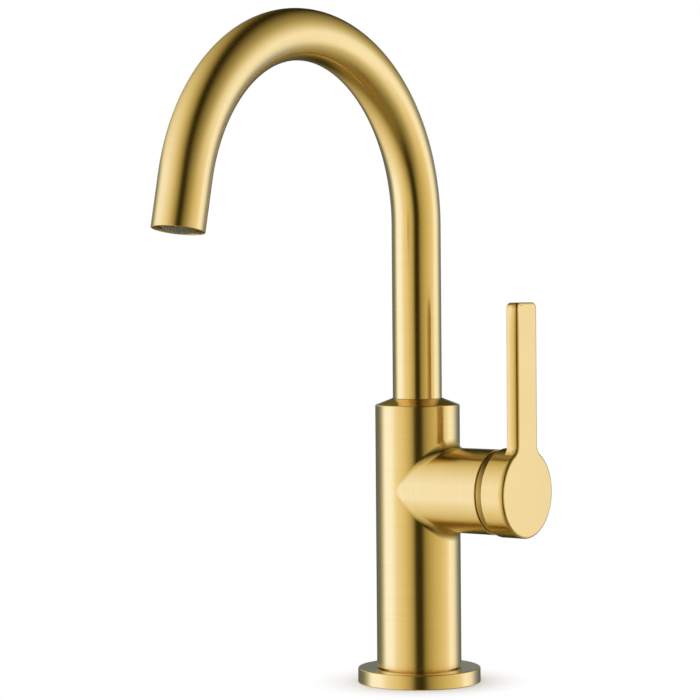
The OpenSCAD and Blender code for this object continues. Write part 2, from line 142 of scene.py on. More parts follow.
class Skin:
    """Collects surface patches with exact normals, brush coordinates and UVs, then welds them."""

    def __init__(self):
        self.places, self.normals, self.brush, self.faces, self.uvs = [], [], [], [], []

    def add(self, places, normals, brush):
        start = len(self.places)
        self.places.extend(places.reshape(-1, 3))
        self.normals.extend(normals.reshape(-1, 3))
        self.brush.extend(brush.reshape(-1, 3))
        return start

    def grid(self, places, normals, brush, uv, skip=None):
        """Adds a patch of rows x columns. skip(row, column) leaves quads out."""
        rows, cols = places.shape[:2]
        start = self.add(places, normals, brush)
        for i in range(rows - 1):
            for j in range(cols - 1):
                if skip and skip(i, j):
                    continue
                quad = [(i, j), (i, j + 1), (i + 1, j + 1), (i + 1, j)]
                self.faces.append([start + a * cols + b for a, b in quad])
                self.uvs.append([uv[a, b] for a, b in quad])

    def flat(self, loops, normal, brush_axes):
        """Fills a flat outline, the first loop, around the holes that the others leave.

        brush_axes are the way along the brush lines and the way across them.
        """
        points = np.concatenate(loops)
        along, across = (points @ np.array(axis, float) for axis in brush_axes)
        start = self.add(points, np.tile(np.array(normal, float), (len(points), 1)),
                         np.stack([along, 0 * along, across], axis=-1))
        for tri in tessellate_polygon([[Vector(p) for p in loop] for loop in loops]):
            self.faces.append([start + i for i in tri])
            self.uvs.append([(across[i], along[i]) for i in tri])

    def build(self, name, material, reach=2e-6):
        """Makes the object. Corners closer than reach, with one normal, become one."""
        bm = bmesh.new()
        normal_layer = bm.verts.layers.float_vector.new("exact")
        brush_layer = bm.verts.layers.float_vector.new("brush")
        uv_layer = bm.loops.layers.uv.new("turned")
        seen, verts = {}, []
        for place, normal, brush in zip(self.places, self.normals, self.brush):
            place, normal = Vector(place) * MM, Vector(normal).normalized()
            key = tuple(round(c / reach) for c in place) + tuple(round(c, 2) for c in normal)
            if key not in seen:
                seen[key] = v = bm.verts.new(place)
                v[normal_layer] = normal
                v[brush_layer] = Vector(brush) * MM
            verts.append(seen[key])
        for ids, corners in zip(self.faces, self.uvs):
            kept = []
            for i, corner in zip(ids, corners):
                if not any((verts[i].co - v.co).length <= reach for v, _ in kept):
                    kept.append((verts[i], corner))
            if len(kept) < 3:
                continue
            outward = sum((v[normal_layer] for v, _ in kept), Vector())
            if face_normal([v.co for v, _ in kept]).dot(outward) < 0:
                kept.reverse()
            face = bm.faces.new([v for v, _ in kept])
            face.smooth = True
            for loop, (_, corner) in zip(face.loops, kept):
                loop[uv_layer].uv = (corner[0] * MM, corner[1] * MM)
        bmesh.ops.delete(bm, geom=[v for v in bm.verts if not v.link_faces], context="VERTS")
        normals = [tuple(v[normal_layer]) for v in bm.verts]
        mesh = bpy.data.meshes.new(name)
        bm.to_mesh(mesh)
        bm.free()
        mesh.normals_split_custom_set_from_vertices(normals)
        mesh.attributes.remove(mesh.attributes["exact"])
        return stand(name, mesh, material)


def face_normal(places):
    return sum((a.cross(b) for a, b in zip(places, places[1:] + places[:1])), Vector())


def stand(name, mesh, material):
    """Puts a mesh in the scene as an object of one material."""
    obj = bpy.data.objects.new(name, mesh)
    bpy.context.scene.collection.objects.link(obj)
    mesh.materials.append(material)
    return obj


def unit(vectors):
    return vectors / np.linalg.norm(vectors, axis=-1, keepdims=True)


def path_length(points):
    """Distance along a path at each of its points."""
    return np.concatenate([[0], np.cumsum(np.linalg.norm(np.diff(points, axis=0), axis=1))])


def outline(corners, steps=7):
    """Points and normals of a path with rounded corners.

    corners are (radius, height, rounding). The metal lies to the right of the path's direction.
    """
    places = np.array([c[:2] for c in corners], float)
    ways = unit(np.diff(places, axis=0))
    sides = np.stack([-ways[:, 1], ways[:, 0]], axis=1)
    points, normals = [places[0]], [sides[0]]
    for i in range(1, len(corners) - 1):
        n1, n2, rounding = sides[i - 1], sides[i], corners[i][2]
        turn = math.acos(float(np.clip(n1 @ n2, -1, 1)))
        bend = math.copysign(1, n1[0] * n2[1] - n1[1] * n2[0])
        # Centre of the arc that touches both straights
        centre = places[i] + unit(n1 + n2) * rounding / math.cos(turn / 2) * bend
        count = steps if rounding > 0 else 1
        for t in np.linspace(0, 1, count + 1):
            n = (math.sin((1 - t) * turn) * n1 + math.sin(t * turn) * n2) / math.sin(turn)
            points.append(centre - n * rounding * bend)
            normals.append(n)
    points.append(places[-1])
    normals.append(sides[-1])
    return np.array(points), np.array(normals)


def spun(rows, angles):
    """Turns (radius, height) rows through the angles, to (x, y, height)."""
    level = np.ones(len(angles))
    return np.stack([np.outer(rows[:, 0], np.cos(angles)), np.outer(rows[:, 0], np.sin(angles)),
                     np.outer(rows[:, 1], level)], axis=-1)


def turned(skin, corners, place, angles=None, steps=7):
    """Turns a rounded path about an axis. place maps from upright about Z to the tap's frame."""
    angles = np.linspace(0, TURN, 129) if angles is None else angles
    points, normals = outline(corners, steps)
    along = np.repeat(path_length(points)[:, None], len(angles), 1)
    co = spun(points, angles)
    brush = np.stack([co[..., 0], co[..., 1], along], axis=-1)
    uv = np.stack([along, np.outer(np.maximum(points[:, 0], 1), angles)], axis=-1)
    skin.grid(place(co), place(spun(normals, angles), True), brush, uv)


def upright(x=0.0, y=0.0):
    """Turned about a line parallel to Z."""
    return lambda co, direction=False: co if direction else co + np.array([x, y, 0])


def along_x(co, direction=False):
    """Turned about the valve's axis: the path's height runs along +X."""
    out = np.stack([co[..., 2], co[..., 1], -co[..., 0]], axis=-1)
    return out if direction else out + np.array([0, 0, VALVE_Z])


def tip_frame():
    """Centre of the spout's tip, its way out of the tube, and two directions across it."""
    c, s = math.cos(BEND_SWEEP), math.sin(BEND_SWEEP)
    end = np.array([0, -BEND_R + BEND_R * c, RISER_TOP_Z + BEND_R * s])
    out = np.array([0, -s, c])
    return end + out * (TAIL_LEN + TIP_REACH), out, np.array([1.0, 0, 0]), np.array([0, -c, -s])


def in_from_tip(co, direction=False):
    """Turned about the tube's axis at its tip: the path's height runs into the tube."""
    centre, out, side, inner = tip_frame()
    depth = co[..., 2]
    if not direction:
        depth = depth + TIP_SLANT * co[..., 1] * np.clip(1 - depth / TIP_STRETCH, 0, 1)
    moved = co[..., 0:1] * side + co[..., 1:2] * inner - depth[..., None] * out
    return moved if direction else moved + centre


def mesh_lines(us, vs):
    """Rows of (u, v) pairs at the crossings of grid lines: one row for each v."""
    return np.stack(np.meshgrid(us, vs), axis=-1)


def between(lines):
    """The same grid lines with one more in each gap."""
    halves = (lines[1:] + lines[:-1]) / 2
    return np.sort(np.concatenate([lines, halves]))


def around_hole(skin, surface, us, vs, centre, radius, scale, depth):
    """Fills a window of a grid around a round hole and lines the hole.

    surface maps (u, v) to what Skin.grid takes, us and vs are the window's own grid lines, and
    scale gives a millimetre's worth of u and v.
    """
    edge = ([(u, vs[0]) for u in us[:-1]] + [(us[-1], v) for v in vs[:-1]]
            + [(u, vs[-1]) for u in us[:0:-1]] + [(us[0], v) for v in vs[:0:-1]])
    edge = np.array(edge + edge[:1])
    rim = centre + unit((edge - centre) / scale) * radius * scale
    t = np.array([0, 0.2, 0.55, 1])[:, None, None]
    skin.grid(*surface(rim * (1 - t) + edge * t))
    top, _, brush, uv = surface(rim)
    middle, axis = (a[0] for a in surface(np.array([centre]))[:2])
    inward = middle - top
    inward = unit(inward - (inward @ axis)[:, None] * axis)
    skin.grid(np.stack([top, top - axis * depth]), np.stack([inward] * 2), np.stack([brush] * 2),
              np.stack([uv, uv + [depth, 0]]))


# ---- Materials ----

def node_material(name):
    mat = bpy.data.materials.new(name)
    mat.use_nodes = True
    tree = mat.node_tree
    return mat, tree, tree.nodes["Principled BSDF"]


def link_noise(tree, vector, scale, detail=2.0):
    mapping = tree.nodes.new("ShaderNodeMapping")
    mapping.inputs["Scale"].default_value = scale
    noise = tree.nodes.new("ShaderNodeTexNoise")
    noise.inputs["Scale"].default_value = 1.0
    noise.inputs["Detail"].default_value = detail
    tree.links.new(vector, mapping.inputs["Vector"])
    tree.links.new(mapping.outputs["Vector"], noise.inputs["Vector"])
    return noise.outputs["Fac"]


def link_range(tree, value, low, high, from_low=0.3, from_high=0.7, smooth=False):
    node = tree.nodes.new("ShaderNodeMapRange")
    node.interpolation_type = "SMOOTHSTEP" if smooth else "LINEAR"
    node.inputs["From Min"].default_value = from_low
    node.inputs["From Max"].default_value = from_high
    node.inputs["To Min"].default_value = low
    node.inputs["To Max"].default_value = high
    tree.links.new(value, node.inputs["Value"])
    return node.outputs["Result"]


def link_math(tree, operation, *values):
    node = tree.nodes.new("ShaderNodeMath")
    node.operation = operation
    for socket, value in zip(node.inputs, values):
        if isinstance(value, (int, float)):
            socket.default_value = value
        else:
            tree.links.new(value, socket)
    return node.outputs[0]


def link_mix(tree, factor, low, high, blend="MIX"):
    node = tree.nodes.new("ShaderNodeMix")
    node.data_type = "RGBA"
    node.blend_type = blend
    for socket, value in ((node.inputs[0], factor), (node.inputs[6], low), (node.inputs[7], high)):
        if isinstance(value, tuple):
            socket.default_value = (*value, 1)
        elif isinstance(value, (int, float)):
            socket.default_value = value
        else:
            tree.links.new(value, socket)
    return node.outputs[2]


def link_bump(tree, shader, height, strength, distance):
    bump = tree.nodes.new("ShaderNodeBump")
    bump.inputs["Strength"].default_value = strength
    bump.inputs["Distance"].default_value = distance
    tree.links.new(height, bump.inputs["Height"])
    tree.links.new(bump.outputs["Normal"], shader.inputs["Normal"])


GOLD = (0.86, 0.65, 0.30)
GOLD_WORN = (0.83, 0.615, 0.27)


def brushed_gold(name, rough=0.2, streak=1.0, colours=(GOLD, GOLD_WORN)):
    """Gold-coloured plating over fine brush lines that run around each turned form."""
    mat, tree, shader = node_material(name)
    attribute = tree.nodes.new("ShaderNodeAttribute")
    attribute.attribute_name = "brush"
    vector = attribute.outputs["Vector"]
    fine = link_noise(tree, vector, (90, 90, 9000), 3)
    broad = link_noise(tree, vector, (30, 30, 900))
    cloud = link_noise(tree, vector, (25, 25, 25), 3)
    tint = link_range(tree, broad, 0.0, 0.5 * streak)
    tree.links.new(link_mix(tree, tint, *colours), shader.inputs["Base Color"])
    shader.inputs["Metallic"].default_value = 1.0
    marks = link_math(tree, "MULTIPLY_ADD", fine, 0.5, cloud)
    roughness = link_range(tree, marks, rough - 0.02, rough + 0.02, 0.5, 1.0)
    tree.links.new(roughness, shader.inputs["Roughness"])
    shader.inputs["Anisotropic"].default_value = 0.55
    tangent = tree.nodes.new("ShaderNodeTangent")
    tangent.direction_type = "UV_MAP"
    tangent.uv_map = "turned"
    tree.links.new(tangent.outputs["Tangent"], shader.inputs["Tangent"])
    link_bump(tree, shader, fine, 0.04 * streak, 0.00002)
    return mat


def turned_metal(name, colour, darker, rough, axis_scale):
    """Machined metal whose fine tool marks lie across one axis of the frame."""
    mat, tree, shader = node_material(name)
    coords = tree.nodes.new("ShaderNodeTexCoord")
    marks = link_noise(tree, coords.outputs["Object"], axis_scale, 3)
    cloud = link_noise(tree, coords.outputs["Object"], (120, 120, 120), 4)
    tree.links.new(link_mix(tree, cloud, darker, colour), shader.inputs["Base Color"])
    shader.inputs["Metallic"].default_value = 1.0
    tree.links.new(link_range(tree, marks, rough - 0.06, rough + 0.06), shader.inputs["Roughness"])
    link_bump(tree, shader, marks, 0.25, 0.00003)
    return mat


def moulded(name, colour, darker, rough, grain, strength=0.15):
    """Moulded rubber, plastic or ceramic: a faint mottle and a fine surface grain."""
    mat, tree, shader = node_material(name)
    coords = tree.nodes.new("ShaderNodeTexCoord")
    mottle = link_noise(tree, coords.outputs["Object"], (150, 150, 150), 4)
    fine = link_noise(tree, coords.outputs["Object"], (grain, grain, grain), 3)
    tree.links.new(link_mix(tree, mottle, darker, colour), shader.inputs["Base Color"])
    tree.links.new(link_range(tree, fine, rough - 0.07, rough + 0.07), shader.inputs["Roughness"])
    link_bump(tree, shader, fine, strength, 0.00005)
    return mat


# ---- Body ----

def body_side(uv):
    """The body's upright side at (angle, height)."""
    angle, z = uv[..., 0], uv[..., 1]
    normal = np.stack([np.cos(angle), np.sin(angle), 0 * angle], axis=-1)
    place = np.stack([BODY_R * normal[..., 0], BODY_R * normal[..., 1], z], axis=-1)
    return place, normal, place, np.stack([z, angle * BODY_R], axis=-1)


def tee_centres(psi):
    """Centre of the ball that rolls along the joint of body and housing, for each angle psi."""
    y = (HOUSING_R + TEE_FILLET) * np.sin(psi)
    z = (HOUSING_R + TEE_FILLET) * np.cos(psi)
    return np.stack([np.sqrt((BODY_R + TEE_FILLET) ** 2 - y ** 2), y, z], axis=-1)


def body_piece(material):
    """The cast body: upright cylinder, coned shoulder, and valve housing joined by a fillet."""
    skin = Skin()
    psi = np.linspace(0, TURN, 257)
    # The side's grid lines: denser around the housing, in a window of this half-width and height
    window_a, window_h = math.radians(104), 30.0
    eighth = np.tan(np.linspace(-TURN / 8, TURN / 8, 65))
    front = window_a * eighth
    angles = np.concatenate([front, np.linspace(window_a, TURN - window_a, 50)[1:]])
    keeper_rows = np.linspace(KEEPER_Z - 3.4, KEEPER_Z + 3.4, 7)
    window_rows = VALVE_Z + window_h * eighth
    top_z, bottom_z = BODY_TOP_Z - 2, FLANGE_H + 1
    heights = np.concatenate([np.linspace(bottom_z, window_rows[0], 12)[:-1], window_rows,
                              keeper_rows, [top_z]])
    keeper_columns = np.flatnonzero(abs(angles - TURN / 4) < math.radians(10.5))
    keeper_first = len(heights) - 1 - len(keeper_rows)

    def in_window(i, j):
        tee = 11 <= i < 11 + len(window_rows) - 1 and j < len(front) - 1
        keeper = (keeper_first <= i < len(heights) - 2
                  and keeper_columns[0] <= j < keeper_columns[-1])
        return tee or keeper

    skin.grid(*body_side(mesh_lines(angles, heights)), skip=in_window)
    around_hole(skin, body_side, between(angles[keeper_columns]), between(keeper_rows),
                (TURN / 4, KEEPER_Z), KEEPER_HOLE_R, np.array([1 / BODY_R, 1]), HOLE_DEPTH)

    foot_r, foot_z = BODY_R - FOOT_DEPTH, FLANGE_H + FOOT_GAP
    slope = CONE_RISE / (BODY_R - SPOUT_R)
    mouth_z = BODY_TOP_Z + slope * (BODY_R - GLIDE_R)
    turned(skin, [
        (SOCKET_R, SOCKET_Z, 0), (SOCKET_R, GLIDE_Z, 0), (GLIDE_R, GLIDE_Z, 0),
        (GLIDE_R, mouth_z, 0.15), (BODY_R, BODY_TOP_Z, SHOULDER_ROUND), (BODY_R, top_z, 0),
    ], upright(), angles)
    turned(skin, [
        (BODY_R, bottom_z, 0), (BODY_R, foot_z, 0.15), (foot_r, foot_z, 0), (foot_r, FLANGE_H, 0),
        (SPIGOT_R, FLANGE_H, 0), (SPIGOT_R, SPIGOT_Z, 0.3), (SHANK_HOLE_R, SPIGOT_Z, 0),
        (SHANK_HOLE_R, SHANK_TOP_Z, 0), (CAVITY_R, SHANK_TOP_Z, 0), (CAVITY_R, CAVITY_TOP_Z, 0),
    ], upright(), angles)
    ceiling = [np.stack([CAVITY_R * np.cos(angles), CAVITY_R * np.sin(angles),
                         np.full(len(angles), CAVITY_TOP_Z)], axis=-1)[:-1]]
    small = np.linspace(0, TURN, 49)
    for x, y in INLETS:
        ceiling.append(np.stack([x + INLET_R * np.cos(small), y + INLET_R * np.sin(small),
                                 np.full(len(small), CAVITY_TOP_Z)], axis=-1)[:-1])
        turned(skin, [
            (INLET_R, CAVITY_TOP_Z, 0), (INLET_R, CAVITY_TOP_Z + INLET_LEN, 0),
            (SUPPLY_R, CAVITY_TOP_Z + INLET_LEN, 0), (SUPPLY_R, VALVE_Z, 0),
        ], upright(x, y), small)
    skin.flat(ceiling, (0, 0, -1), ((1, 0, 0), (0, 1, 0)))

    # The window around the housing, from its line of contact out to the grid
    centre = tee_centres(psi)
    theta = np.arcsin(centre[:, 1] / (BODY_R + TEE_FILLET))
    contact = np.stack([theta, VALVE_Z + centre[:, 2]], axis=-1)
    square = np.stack([np.sin(psi), np.cos(psi)], axis=-1)
    square /= np.abs(square).max(axis=1, keepdims=True)
    edge = square * [window_a, window_h] + [0, VALVE_Z]
    t = np.linspace(0, 1, 12)[:, None, None] ** 1.3
    skin.grid(*body_side(contact * (1 - t) + edge * t))

    # The fillet, an arc of the rolling ball at each angle
    to_body = -unit(centre * [1, 1, 0])
    to_side = -unit(centre * [0, 1, 1])
    angle = np.arccos((to_body * to_side).sum(axis=1))[:, None]
    f = np.linspace(0, 1, 13)[:, None, None]
    arc = unit(np.sin((1 - f) * angle) * to_body + np.sin(f * angle) * to_side)
    around = np.repeat((psi * HOUSING_R)[None], len(arc), 0)
    co = centre + TEE_FILLET * arc + [0, 0, VALVE_Z]
    skin.grid(co, -arc, co[..., [1, 2, 0]], np.stack([co[..., 0], around], axis=-1))

    # The housing, from the fillet to its open mouth
    plain_x = BODY_R + TEE_FILLET + 4
    ring = np.stack([0 * psi, np.sin(psi), np.cos(psi)], axis=-1)
    f = np.linspace(0, 1, 7)[:, None]
    x = centre[:, 0] * (1 - f) + plain_x * f
    co = ring * [0, HOUSING_R, HOUSING_R] + x[..., None] * [1, 0, 0] + [0, 0, VALVE_Z]
    skin.grid(co, np.repeat(ring[None], len(f), 0), co[..., [1, 2, 0]],
              np.stack([x, around[:len(f)]], axis=-1))
    lip_r = BONNET_R + 0.1
    turned(skin, [
        (NUT_R, NUT_X, 0), (NUT_R, BONNET_X, 0), (lip_r, BONNET_X, 0),
        (lip_r, HOUSING_END_X, 0.2), (HOUSING_R, HOUSING_END_X, MOUTH_ROUND),
        (HOUSING_R, plain_x, 0),
    ], along_x, TURN / 2 - psi)
    return skin.build("tap_body", material)


def flange_piece(material):
    """The cover flange, with the gasket's recess in its underside."""
    skin = Skin()
    inner_r = SPIGOT_R + 0.1
    turned(skin, [
        (inner_r, SPIGOT_Z, 0), (inner_r, FLANGE_H, 0.1), (FLANGE_R, FLANGE_H, 0.7),
        (FLANGE_R, 0, 0.5), (GASKET_R, 0, 0.2), (GASKET_R, SPIGOT_Z, 0), (inner_r, SPIGOT_Z, 0),
    ], upright(), np.linspace(0, TURN, 193))
    return skin.build("flange", material)


def bonnet_piece(material):
    """Thin dome in the gap behind the lever's hub, a little clear of the housing's mouth."""
    skin = Skin()
    start, end = HOUSING_END_X + 0.4 - PIVOT_X, DOME_END_X - PIVOT_X
    inner_r = DOME_R - DOME_WALL

    def on_dome(radius, height):
        return math.sqrt(radius ** 2 - height ** 2), PIVOT_X + height, 0

    def dome_corner(radius, low, high):
        """Where the dome's tangents at two heights meet: a rounding there is the dome itself."""
        pair = [np.array([math.sqrt(radius ** 2 - h * h), h]) / radius for h in (low, high)]
        meet = radius * (pair[0] + pair[1]) / (1 + pair[0] @ pair[1])
        return meet[0], PIVOT_X + meet[1], radius

    turned(skin, [
        on_dome(inner_r, start), dome_corner(inner_r, start, end), on_dome(inner_r, end),
        on_dome(DOME_R, end), dome_corner(DOME_R, end, start), on_dome(DOME_R, start),
        (BONNET_R, PIVOT_X + start, 0), (BONNET_R, BONNET_X + 1, 0),
    ], along_x, np.linspace(0, TURN, 161), steps=14)
    return skin.build("bonnet_dome", material)


# ---- Spout ----

def spout_piece(material):
    """The bent tube, with a rounded rim at its tip."""
    skin = Skin()
    around = np.linspace(0, TURN, 97)
    # Stations along the centre line: a height on the riser, or an angle of the bend
    rise = [(0, z, 0.0) for z in np.linspace(TUBE_BOTTOM_Z, RISER_TOP_Z, 16)[:-1]]
    bend = [(-BEND_R + BEND_R * math.cos(a), RISER_TOP_Z + BEND_R * math.sin(a), a)
            for a in np.linspace(0, BEND_SWEEP, 111)]
    centre, out, _, _ = tip_frame()
    last = centre - out * TIP_STRETCH
    stations = np.array(rise + bend + [(last[1], last[2], BEND_SWEEP)])
    middle = np.stack([0 * stations[:, 0], stations[:, 0], stations[:, 1]], axis=-1)
    a = stations[:, 2]
    outer = np.stack([0 * a, np.cos(a), np.sin(a)], axis=-1)
    normal = (np.cos(around)[None, :, None] * outer[:, None]
              + np.sin(around)[None, :, None] * np.array([1.0, 0, 0]))
    along = np.repeat(path_length(middle)[:, None], len(around), 1)
    level = np.ones_like(along)
    brush = np.stack([SPOUT_R * np.cos(around) * level, SPOUT_R * np.sin(around) * level, along],
                     axis=-1)
    skin.grid(middle[:, None] + SPOUT_R * normal, normal, brush,
              np.stack([along, SPOUT_R * around * level], axis=-1))
    inner = SPOUT_R - SPOUT_WALL
    turned(skin, [(SPOUT_R, TIP_STRETCH, 0), (SPOUT_R, 0, RIM_ROUND), (inner, 0, 0.3),
                  (inner, TIP_STRETCH, 0)], in_from_tip, around - TURN / 4)
    return skin.build("spout", material)


def tip_ring_piece(material):
    """The aerator housing's ring around the screen, inside the tube's rim."""
    skin = Skin()
    outer, inner = SPOUT_R - SPOUT_WALL - 0.05, MESH_R + 0.1
    turned(skin, [(outer, TIP_STRETCH, 0), (outer, RING_DEPTH, 0.3), (inner, RING_DEPTH, 0.3),
                  (inner, TIP_STRETCH, 0)], in_from_tip, np.linspace(0, TURN, 97))
    return skin.build("aerator_ring", material)


def screen_piece(material):
    """Fine woven screen, domed a little, of two sets of crossing wires."""
    centre, out, across, inner = tip_frame()
    skin = Skin()
    reach = MESH_R - 0.15
    base = centre - out * (SCREEN_DEPTH + TIP_REACH + 0.1)
    around = np.linspace(0, TURN, 7)
    count = int(reach / WIRE_PITCH)
    for family in (0, 1):
        for i in range(-count, count + 1):
            offset = i * WIRE_PITCH
            half = math.sqrt(reach ** 2 - offset ** 2)
            if half < WIRE_PITCH:
                continue
            t = np.linspace(-half, half, int(4 * half / WIRE_PITCH) + 1)
            p, q = (t, offset + 0 * t) if family == 0 else (offset + 0 * t, t)
            dome = SCREEN_RISE * (1 - (p * p + q * q) / MESH_R ** 2)
            weave = np.cos(math.pi * (t / WIRE_PITCH + i + family)) * WIRE_R * 0.9
            path = (base + p[:, None] * across + q[:, None] * inner
                    + (dome + weave)[:, None] * out)
            way = unit(np.gradient(path, axis=0))
            side = unit(np.cross(way, out))
            lift = np.cross(side, way)
            ring = (np.cos(around)[None, :, None] * side[:, None]
                    + np.sin(around)[None, :, None] * lift[:, None])
            co = path[:, None] + ring * WIRE_R
            uv = np.stack([np.repeat(t[:, None], 7, 1), np.repeat(around[None], len(t), 0)],
                          axis=-1)
            skin.grid(co, ring, co, uv)
    return skin.build("outlet_screen", material, reach=1e-7)


# ---- Lever ----

def lever_outline():
    """Places and outward normals around hub and blade, as (y, z) off the valve's axis.

    Angles run from +Z towards +Y. The first stretch is the hub's circle, the rest the blade with
    the two webs that lead into it. Returns the angles of that first stretch too.
    """
    half = BLADE_W / 2
    web_y = half + BLADE_WEB_R
    web_z = math.sqrt((HUB_R + BLADE_WEB_R) ** 2 - web_y ** 2)
    touch = math.atan2(web_y, web_z)
    corner_y, corner_z = half - BLADE_CORNER_R, BLADE_LEN - BLADE_CORNER_R
    quarter = TURN / 4
    places, normals = [], []

    def arc(y, z, radius, angles, hollow=False):
        for a in angles:
            n = np.array([math.sin(a), math.cos(a)])
            places.append(np.array([y, z]) + radius * n)
            normals.append(-n if hollow else n)

    def straight(start, end, normal, count):
        for t in np.linspace(0, 1, count + 1)[1:-1]:
            places.append(np.array(start) * (1 - t) + np.array(end) * t)
            normals.append(np.array(normal, float))

    hub_angles = np.linspace(touch, TURN - touch, 151)
    corner = np.linspace(0, quarter, 10)
    web = np.linspace(quarter, TURN / 2 - touch, 14)
    arc(0, 0, HUB_R, hub_angles)
    arc(-web_y, web_z, BLADE_WEB_R, web[-2::-1], hollow=True)
    straight((-half, web_z), (-half, corner_z), (-1, 0), 10)
    arc(-corner_y, corner_z, BLADE_CORNER_R, corner - quarter)
    straight((-corner_y, BLADE_LEN), (corner_y, BLADE_LEN), (0, 1), 5)
    arc(corner_y, corner_z, BLADE_CORNER_R, corner)
    straight((half, corner_z), (half, web_z), (1, 0), 10)
    arc(web_y, web_z, BLADE_WEB_R, -web[:-1], hollow=True)
    return np.array(places), np.array(normals), hub_angles


def hub_side(uv):
    """The hub's round side at (angle, place along X)."""
    angle, x = uv[..., 0], uv[..., 1]
    normal = np.stack([0 * angle, np.sin(angle), np.cos(angle)], axis=-1)
    place = normal * HUB_R + np.stack([x, 0 * x, VALVE_Z + 0 * x], axis=-1)
    return place, normal, place[..., [1, 2, 0]], np.stack([x, HUB_R * angle], axis=-1)


def rim_rows(places, normals, rows):
    """Sweeps an edge's section around an outline.

    rows are (inset, x, sideways normal, normal along X), each a number or one for each point.
    """
    co, no = [], []
    flat = np.ones(len(places))
    for inset, x, n_side, n_x in rows:
        co.append(np.column_stack([x * flat, places - normals * (inset * flat)[:, None]]))
        no.append(np.column_stack([n_x * flat, normals * (n_side * flat)[:, None]]))
    co = np.array(co) + [0, 0, VALVE_Z]
    around = np.repeat(path_length(places)[None], len(co), 0)
    return co, unit(np.array(no)), co[..., [1, 2, 0]], np.stack([co[..., 0], around], axis=-1)


def lever_piece(material):
    """Round hub with a flat blade, its edges softened."""
    skin = Skin()
    places, normals, angles = lever_outline()
    hub_last, touch = len(angles) - 1, angles[0]
    loop = np.concatenate([places, places[:1]])
    loop_normals = np.concatenate([normals, normals[:1]])
    blade, blade_normals = loop[hub_last:], loop_normals[hub_last:]
    ends = np.minimum(path_length(blade), path_length(blade[::-1])[::-1])
    on_blade = np.zeros(len(loop))
    on_blade[hub_last:] = np.clip(ends / HUB_FADE, 0, 1)
    share = np.clip(-loop_normals[:, 0], 0, 1)
    low = np.clip((BLADE_LEN - loop[:, 1]) / TOP_FADE, 0, 1)
    wider, deeper = (extra * share * on_blade * low for extra in BLADE_EDGE)
    inset, depth = (crisp + (soft - crisp) * share for soft, crisp in zip(FACE_EDGE, CRISP_EDGE))
    inset, depth = inset + wider, depth + deeper
    edge_x = HUB_FACE_X - FACE_EDGE[1]
    plate_x = HUB_FACE_X - BLADE_T
    rows = [(inset * (1 - math.cos(t)), HUB_FACE_X - depth * (1 - math.sin(t)),
             math.cos(t) / inset, math.sin(t) / depth) for t in np.linspace(TURN / 4, 0, 9)]
    skin.grid(*rim_rows(loop, loop_normals, rows + [(0, edge_x - deeper, 1, 0)]))
    face = places - inset[:-1, None] * normals
    skin.flat([np.column_stack([np.full(len(face), HUB_FACE_X), face[:, 0], VALVE_Z + face[:, 1]])],
              (1, 0, 0), ((0, 0, 1), (0, 1, 0)))

    # The blade's side and its softer back edge, which fades out where the webs meet the hub
    soft = BACK_ROUND * on_blade[hub_last:]
    rows = [(0, edge_x - deeper[hub_last:], 1, 0)]
    rows += [(soft * (1 - math.cos(t)), plate_x + soft * (1 - math.sin(t)),
              math.cos(t), -math.sin(t)) for t in np.linspace(0, TURN / 4, 7)]
    skin.grid(*rim_rows(blade, blade_normals, rows))
    hidden = np.linspace(touch, -touch, 25)
    under = HUB_R * np.column_stack([np.sin(hidden), np.cos(hidden)])[1:-1]
    back = np.concatenate([blade - blade_normals * soft[:, None], under])
    skin.flat([np.column_stack([np.full(len(back), plate_x), back[:, 0], VALVE_Z + back[:, 1]])],
              (-1, 0, 0), ((0, 0, 1), (0, 1, 0)))

    # The hub's side, with the hole of the set screw's plug, and its hollow back
    rear_x = HUB_REAR_X + REAR_ROUND
    plug_rows = np.linspace(SET_SCREW_X - PLUG_WINDOW, SET_SCREW_X + PLUG_WINDOW, 7)
    lines = np.concatenate([[rear_x], plug_rows, [edge_x]])
    columns = np.flatnonzero(abs(angles - TURN / 4) < math.radians(9))
    skin.grid(*hub_side(mesh_lines(angles, lines)),
              skip=lambda i, j: 1 <= i < len(lines) - 2 and columns[0] <= j < columns[-1])
    around_hole(skin, hub_side, angles[columns], plug_rows, (TURN / 4, SET_SCREW_X), PLUG_HOLE_R,
                np.array([1 / HUB_R, 1]), HOLE_DEPTH)
    skin.grid(*hub_side(mesh_lines(hidden, np.array([rear_x, plate_x]))))
    hollow = DOME_R + HUB_GAP
    rims = [np.array([math.sqrt(hollow ** 2 - (x - PIVOT_X) ** 2), x - PIVOT_X]) / hollow
            for x in (HUB_REAR_X, HUB_FLOOR_X)]
    meet = hollow * (rims[0] + rims[1]) / (1 + rims[0] @ rims[1])
    turned(skin, [
        (HUB_R, rear_x, 0), (HUB_R, HUB_REAR_X, REAR_ROUND), (rims[0][0] * hollow, HUB_REAR_X, 0),
        (meet[0], PIVOT_X + meet[1], hollow), (rims[1][0] * hollow, HUB_FLOOR_X, 0),
        (BOSS_R, HUB_FLOOR_X, 0), (BOSS_R, HUB_REAR_X + 1, 0.3), (HUB_BORE_R, HUB_REAR_X + 1, 0),
        (HUB_BORE_R, HUB_FLOOR_X + 3, 0),
    ], along_x, TURN / 2 - np.concatenate([angles, TURN + hidden[-2::-1]]))
    return skin.build("lever", material)


# ---- Studio ----

